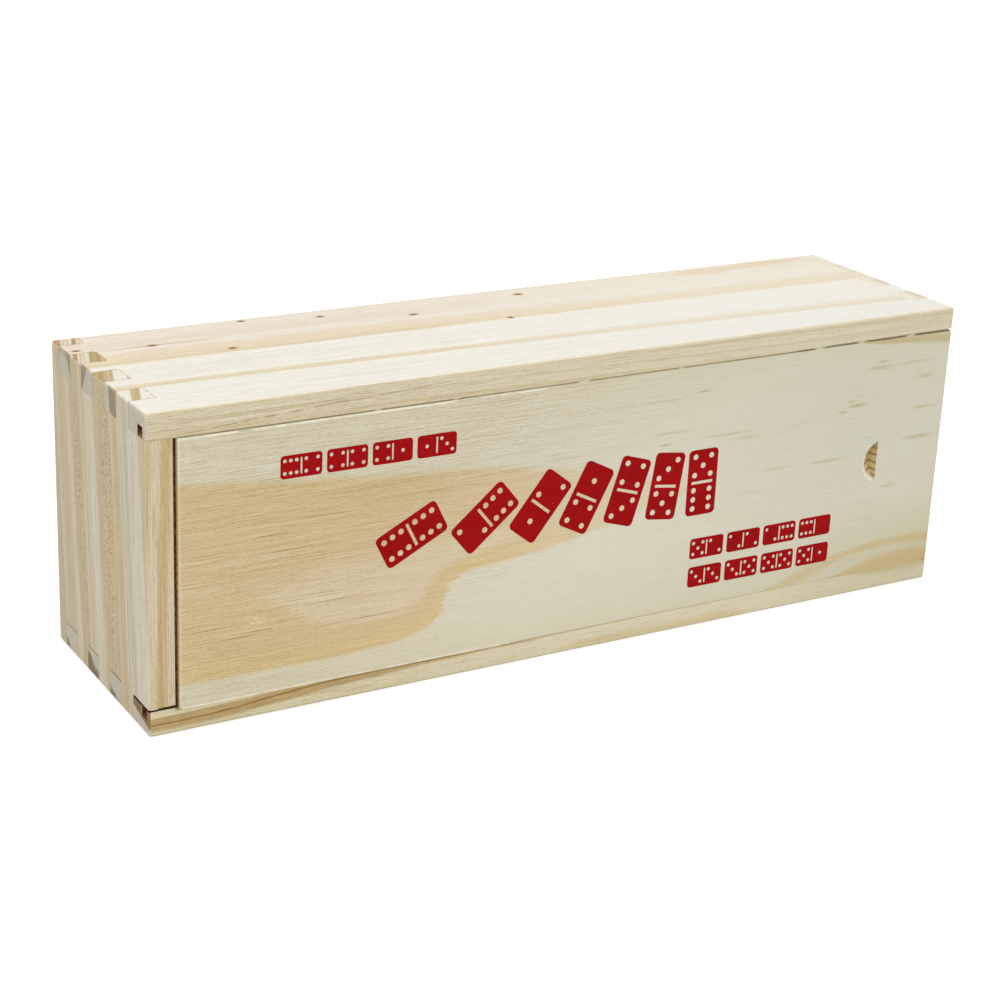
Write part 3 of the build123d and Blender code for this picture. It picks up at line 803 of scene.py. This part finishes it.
for crest_low, crest_high, crest_end in ((58.15, 58.55, 84.0), (4.5, 4.95, 78.0)):
    crest_highlight = inside(tree, grain, (5.9, crest_low, -1.0), (crest_end, crest_high, 0.15))
    crest_highlight = add_node(tree, "Math", {0: crest_highlight, 1: whole}, operation="MULTIPLY")
    colour = stain(tree, colour, crest_highlight, "#FBF8EA", "MIX")
# The notch's wall shows its growth bands end on, as dark and light stripes
notch_ends = bands(tree, add_noise(tree, parts[1], wander, 1.5), BOX_HEIGHT, [
    (0.0, "#DED1B1"), (26.0, "#DCCBA2"), (27.0, "#D0B88C"), (27.3, "#A08860"), (27.7, "#EBD9AE"),
    (28.4, "#E6D09E"), (28.7, "#9C845A"), (29.1, "#E8D2A2"), (30.0, "#EFDCB0"), (30.3, "#A28A60"),
    (30.8, "#ECD8AC"), (31.8, "#EBD7AA"), (32.1, "#9C845A"), (32.6, "#E8D3A4"), (33.4, "#DEC897"),
    (33.7, "#A68E64"), (34.1, "#D2BC8E"), (35.4, "#DCCBA2"), (64.0, "#DED1B1"),
])
face_colour = colour
colour, height = end_grain(tree, grain, colour, height, (1, 0, 0), notch_ends)
# The bevel at the closed end keeps the face's colour, with a painted highlight along its crest; below it
# the rebate is darkened with brown painted shade
bevel = inside(tree, grain, (5.5, 4.0, -1.0), (6.45, 59.0, 0.3))
colour = stain(tree, colour, bevel, face_colour, "MIX")
crest_highlight = inside(tree, grain, (6.25, 5.0, -1.0), (6.6, 58.3, 0.3))
colour = stain(tree, colour, crest_highlight, "#57544E", "ADD")
colour = painted_recess_shade(tree, grain, colour, (4.8, -1.0, 0.95), (6.2, 65.0, 3.0))
# Painted highlight: a pale crescent on the notch's rim, away from its wall
NOTCH_REACH = (3.5, 4.5, 1000)
rim_highlight = add_node(tree, "VectorMath", {0: grain, 1: NOTCH_MIDDLE}, operation="SUBTRACT")
rim_highlight = add_node(tree, "VectorMath", {0: rim_highlight, 1: NOTCH_REACH}, operation="DIVIDE")
rim_highlight = add_node(tree, "VectorMath", {0: rim_highlight}, "Value", operation="LENGTH")
rim_highlight = add_node(tree, "Math", {0: rim_highlight, 1: 0.8}, operation="MULTIPLY")
rim_highlight = add_node(tree, "ValToRGB", {0: rim_highlight}, stops=[
    (0.72, "#000000"), (0.76, "#66645A"), (0.84, "#66645A"), (0.89, "#000000"),
])
beside = inside(tree, grain, (NOTCH_MIDDLE[0] - 4.2, 25.5, -1.0), (NOTCH_MIDDLE[0] - 0.6, 32.5, 0.3))
colour = stain(tree, colour, beside, rim_highlight, "ADD")
finish_wood(tree, colour, height)
put_on("sliding_lid", lid_wood)


# ---------------------------------------------------------------- lifted fibres along the seams

TIP = 0.2  # a sliver's tips are this share of its width


def lifted_fibres(start, end, low, high, front, back, taper_left, taper_right):
    """A sliver of wood that fills a seam, thinned out to both sides; all places in mm."""
    bpy.ops.object.select_all(action="DESELECT")
    bpy.ops.mesh.primitive_cube_add(
        size=1,
        location=((start + end) / 2 * MM, (front + back) / 2 * MM, (low + high) / 2 * MM),
        scale=((end - start) * MM, (back - front) * MM, (high - low) * MM),
    )
    sliver = bpy.context.object
    bpy.ops.object.transform_apply()
    for side, taper in ((-1, taper_left), (1, taper_right)):
        bpy.ops.object.mode_set(mode="EDIT")
        bpy.ops.mesh.select_mode(type="FACE")
        bpy.ops.mesh.select_all(action="DESELECT")
        bpy.ops.object.mode_set(mode="OBJECT")
        tip = max(sliver.data.polygons, key=lambda face: side * face.center.x)
        tip.select = True
        bpy.ops.object.mode_set(mode="EDIT")
        bpy.ops.mesh.extrude_region_move(TRANSFORM_OT_translate={"value": (side * taper * MM, 0, 0)})
        bpy.ops.transform.resize(value=(1, TIP, TIP))
        bpy.ops.object.mode_set(mode="OBJECT")
    return sliver


def lay_on_lid(name, sliver):
    """Name a sliver, give it the lid's wood and let it slide with the lid."""
    sliver.name = name
    sliver.data.materials.clear()
    sliver.data.materials.append(lid_wood)
    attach(sliver, "lid")


# The lower seam is closed along its whole length
lay_on_lid("fibres_lower_seam", lifted_fibres(-87.4, 92.6, 4.56, 4.92, -24.985, -24.4, 0.3, 1.0))
# The upper seam is bridged where its edge tore, and half filled towards the open end: for each bridge
# where it starts and ends along the box, and the height of its top
upper_bridges = [
    (-47.6, -47.0, 58.78), (-30.7, -30.2, 58.78), (-2.7, -0.2, 58.78), (21.8, 22.2, 58.78),
    (56.9, 58.4, 58.78), (68.6, 69.2, 59.06), (82.0, 82.9, 59.06),
]
for i, (start, end, high) in enumerate(upper_bridges):
    bridge = lifted_fibres(start, end, 58.45, high, -24.94, -24.4, 0.5, 0.5)
    lay_on_lid(f"fibres_upper_seam_{i + 1}", bridge)
lay_on_lid("fibres_upper_seam_open_end", lifted_fibres(61.5, 92.6, 58.5, 59.04, -24.5, -24.1, 1.0, 1.0))


# ---------------------------------------------------------------- print on the lid

# Screen-printed enamel ink: flat, slightly glossy red that misses the low spots of the grain
ink = bpy.data.materials.new("screen_print_ink")
tree = bare_nodes(ink)
place = add_node(tree, "TexCoord", output="Object")
grain = add_node(tree, "Mapping", {"Vector": place, "Scale": (1000, 1000, 1000)})
missed = noise_along(tree, grain, 1.6, 0.16, shift=31.0)
thickness = noise_along(tree, grain, 30, 6, shift=33.0)
red = add_node(tree, "ValToRGB", {0: thickness}, stops=[(0.3, "#A00004"), (0.7, "#AE020A")])
speck = add_node(tree, "ValToRGB", {0: missed}, stops=[(0.74, "#000000"), (0.78, "#FFFFFF")])
colour = stain(tree, red, speck, "#DDA88C", "MIX")
relief = add_node(tree, "Bump", {"Height": missed, "Strength": 0.4, "Distance": 0.00004})
surface = add_node(tree, "BsdfPrincipled", {
    "Base Color": colour,
    "Roughness": 0.6,
    "Specular IOR Level": 0.12,
    "Normal": relief,
})
add_node(tree, "OutputMaterial", {"Surface": surface})

INK_THICKNESS = 0.05
INK_LIFT = 0.3  # the film's middle stands this share of its thickness in front of the lid
lid_face_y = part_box("sliding_lid")[0].y

# A printed tile's parts, as shares of its width and its height
PIP_RADIUS = 0.085
PIP_STEP_ACROSS = 0.27
PIP_STEP_ALONG = 0.14
HALF_MIDDLE = 0.255
BAR_LENGTH = 0.72
BAR_WIDTH = 0.045

# Pips on one half of a tile, as steps across and along it from the half's middle
pip_places = {
    0: [],
    1: [(0, 0)],
    2: [(-1, -1), (1, 1)],
    3: [(-1, -1), (0, 0), (1, 1)],
    4: [(-1, -1), (-1, 1), (1, -1), (1, 1)],
    5: [(-1, -1), (-1, 1), (0, 0), (1, -1), (1, 1)],
    6: [(-1, -1), (-1, 0), (-1, 1), (1, -1), (1, 0), (1, 1)],
}


def choose(thing):
    """Leave only this object selected, and active."""
    bpy.ops.object.select_all(action="DESELECT")
    thing.select_set(True)
    bpy.context.view_layer.objects.active = thing


def copy_of(thing):
    """A copy with its own mesh."""
    twin = thing.copy()
    twin.data = thing.data.copy()
    bpy.context.scene.collection.objects.link(twin)
    return twin


def join(things):
    """Join objects into the first of them."""
    choose(things[0])
    for thing in things[1:]:
        thing.select_set(True)
    bpy.ops.object.join()
    return things[0]


def blank_tile(width, height, corner):
    """A printed tile standing upright: a thin film of ink with rounded corners."""
    bpy.ops.object.select_all(action="DESELECT")
    bpy.ops.mesh.primitive_cube_add(size=1, scale=(width * MM, INK_THICKNESS * MM, height * MM))
    tile = bpy.context.object
    bpy.ops.object.transform_apply()
    bpy.ops.object.mode_set(mode="EDIT")
    bpy.ops.mesh.select_mode(type="EDGE")
    bpy.ops.mesh.select_all(action="DESELECT")
    bpy.ops.object.mode_set(mode="OBJECT")
    for edge in tile.data.edges:
        one, other = (tile.data.vertices[i].co for i in edge.vertices)
        edge.select = abs(one.y - other.y) > 0.5 * INK_THICKNESS * MM
    bpy.ops.object.mode_set(mode="EDIT")
    bpy.ops.mesh.bevel(offset=corner * MM, segments=5)
    bpy.ops.object.mode_set(mode="OBJECT")
    return tile


def print_tile(blank, width, height, low, high, place, lean):
    """Knock the pips and the bar out of a copy of a blank tile, then lean it and put it on the lid."""
    tile = copy_of(blank)
    bpy.ops.object.select_all(action="DESELECT")
    bpy.ops.mesh.primitive_cube_add(size=1, scale=(BAR_LENGTH * width * MM, MM, BAR_WIDTH * height * MM))
    cutters = [bpy.context.object]
    for pips, half in ((low, -1), (high, 1)):
        for step_x, step_z in pip_places[pips]:
            pip_x = step_x * (PIP_STEP_ACROSS * width)
            pip_z = half * HALF_MIDDLE * height + step_z * (PIP_STEP_ALONG * height)
            bpy.ops.mesh.primitive_cylinder_add(
                vertices=20, radius=PIP_RADIUS * width * MM, depth=MM, rotation=(radians(90), 0, 0),
                location=(pip_x * MM, 0, pip_z * MM),
            )
            cutters.append(bpy.context.object)
    cutter = join(cutters)
    knock_out = tile.modifiers.new("knock_out", "BOOLEAN")
    knock_out.object = cutter
    knock_out.solver = "EXACT"
    choose(tile)
    bpy.ops.object.modifier_apply(modifier="knock_out")
    bpy.data.objects.remove(cutter)
    tile.rotation_euler = (0, radians(lean), 0)
    tile.location = (place[0] * MM, lid_face_y - INK_LIFT * INK_THICKNESS * MM, place[1] * MM)
    bpy.ops.object.transform_apply()
    return tile


def finish_print(name, tiles):
    """Join printed tiles to one film of ink that slides with the lid."""
    film = join(tiles)
    film.name = name
    film.data.materials.clear()
    film.data.materials.append(ink)
    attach(film, "lid")


# A row of tiles toppling towards the thumb notch, each leaning on the next: from the upright one on,
# the lean of each in degrees and the pips on its lower and upper half
FALLING_WIDTH = 7.4
FALLING_HEIGHT = 14.6
FALLING_GAP = 0.9
blank = blank_tile(FALLING_WIDTH, FALLING_HEIGHT, 1.0)
falling = [(0, 6, 5), (8, 5, 3), (17, 3, 4), (27, 4, 1), (38, 1, 2), (50, 2, 6), (63, 6, 6)]
foot_x = 127.0 - BOX_LENGTH / 2
foot_z = 25.6
next_lean = None
printed = []
for lean, low, high in falling:
    slant = radians(lean)
    if next_lean is not None:
        overlap = FALLING_HEIGHT * cos(slant) * sin(next_lean)
        foot_x -= FALLING_HEIGHT * sin(slant) + (FALLING_GAP + FALLING_WIDTH - overlap) / cos(next_lean)
    middle_x = foot_x + FALLING_HEIGHT / 2 * sin(slant) - FALLING_WIDTH / 2 * cos(slant)
    middle_z = foot_z + FALLING_HEIGHT / 2 * cos(slant) + FALLING_WIDTH / 2 * sin(slant)
    printed.append(print_tile(blank, FALLING_WIDTH, FALLING_HEIGHT, low, high, (middle_x, middle_z), lean))
    next_lean = slant
bpy.data.objects.remove(blank)
finish_print("print_falling_tiles", printed)

# Small tiles lie end to end in short rows, one at the upper left and two at the lower right: for each
# row where it starts, how high it is, and the pips on each tile's halves
SMALL_WIDTH = 4.6
SMALL_LENGTH = 8.6
SMALL_PITCH = 9.6
blank = blank_tile(SMALL_WIDTH, SMALL_LENGTH, 0.7)
rows = [
    ("print_upper_row", 26.5 - BOX_LENGTH / 2, 50.0, [(6, 4), (4, 4), (4, 1), (1, 3)]),
    ("print_first_lower_row", 121.5 - BOX_LENGTH / 2, 17.9, [(5, 2), (2, 2), (2, 6), (6, 0)]),
    ("print_second_lower_row", 121.5 - BOX_LENGTH / 2, 11.4, [(3, 3), (3, 5), (5, 5), (5, 1)]),
]
for name, start_x, middle_z, halves in rows:
    printed = []
    for i, (left, right) in enumerate(halves):
        place = (start_x + SMALL_LENGTH / 2 + i * SMALL_PITCH, middle_z)
        printed.append(print_tile(blank, SMALL_WIDTH, SMALL_LENGTH, left, right, place, 90))
    finish_print(name, printed)
bpy.data.objects.remove(blank)
